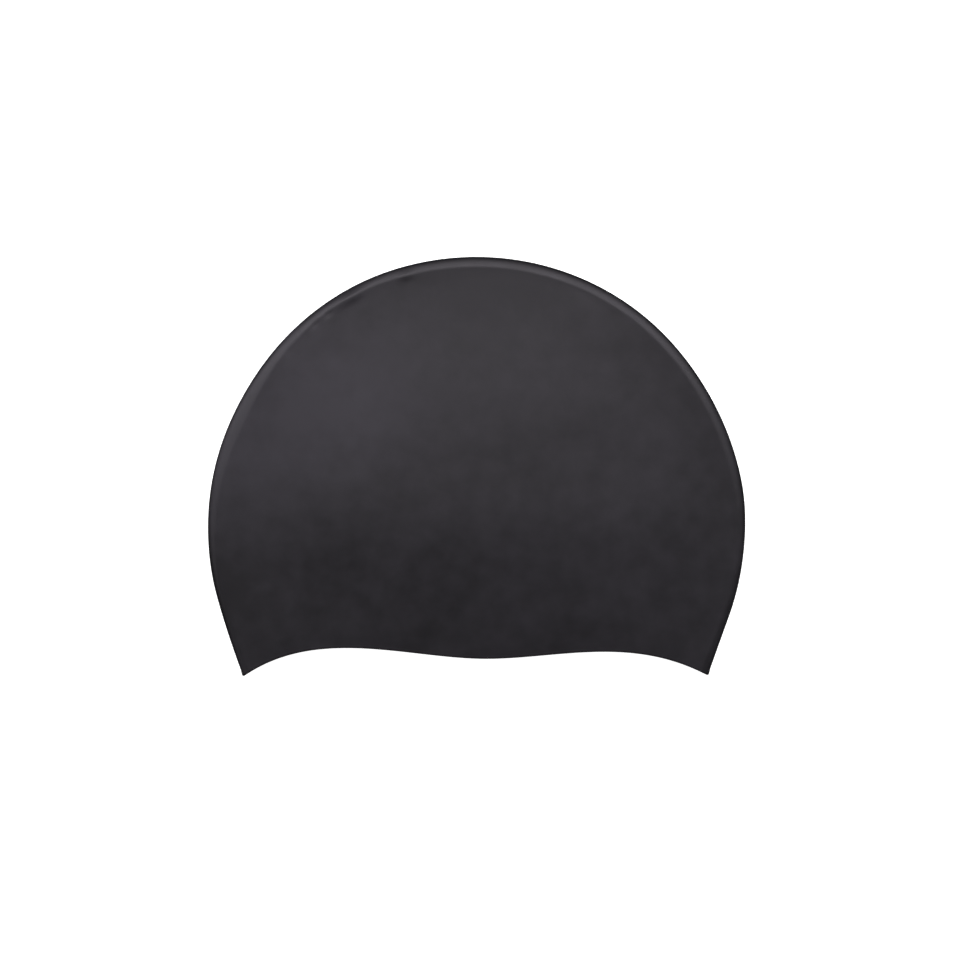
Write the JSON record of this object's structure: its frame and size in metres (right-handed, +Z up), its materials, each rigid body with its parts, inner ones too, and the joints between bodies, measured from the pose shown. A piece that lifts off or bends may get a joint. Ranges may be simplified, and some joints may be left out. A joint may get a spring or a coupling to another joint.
{
  "type": "swim cap",
  "caption": "Plain black moulded silicone swim cap lying flat on its side, with a rolled crown fold, a slightly domed hollow body and a wavy thick-lipped mouth.",
  "frame": {"origin": "under the middle of the cap's plan, on the surface it lies on", "axes": "+X across the cap, +Y from the mouth to the crown, +Z up from the surface it lies on"},
  "size_m": [0.225, 0.1756, 0.013],
  "materials": {
    "silicone": "matt black moulded silicone, faintly mottled"
  },
  "bodies": {
    "root": {"cap_shell": "silicone"}
  },
  "joints": []
}
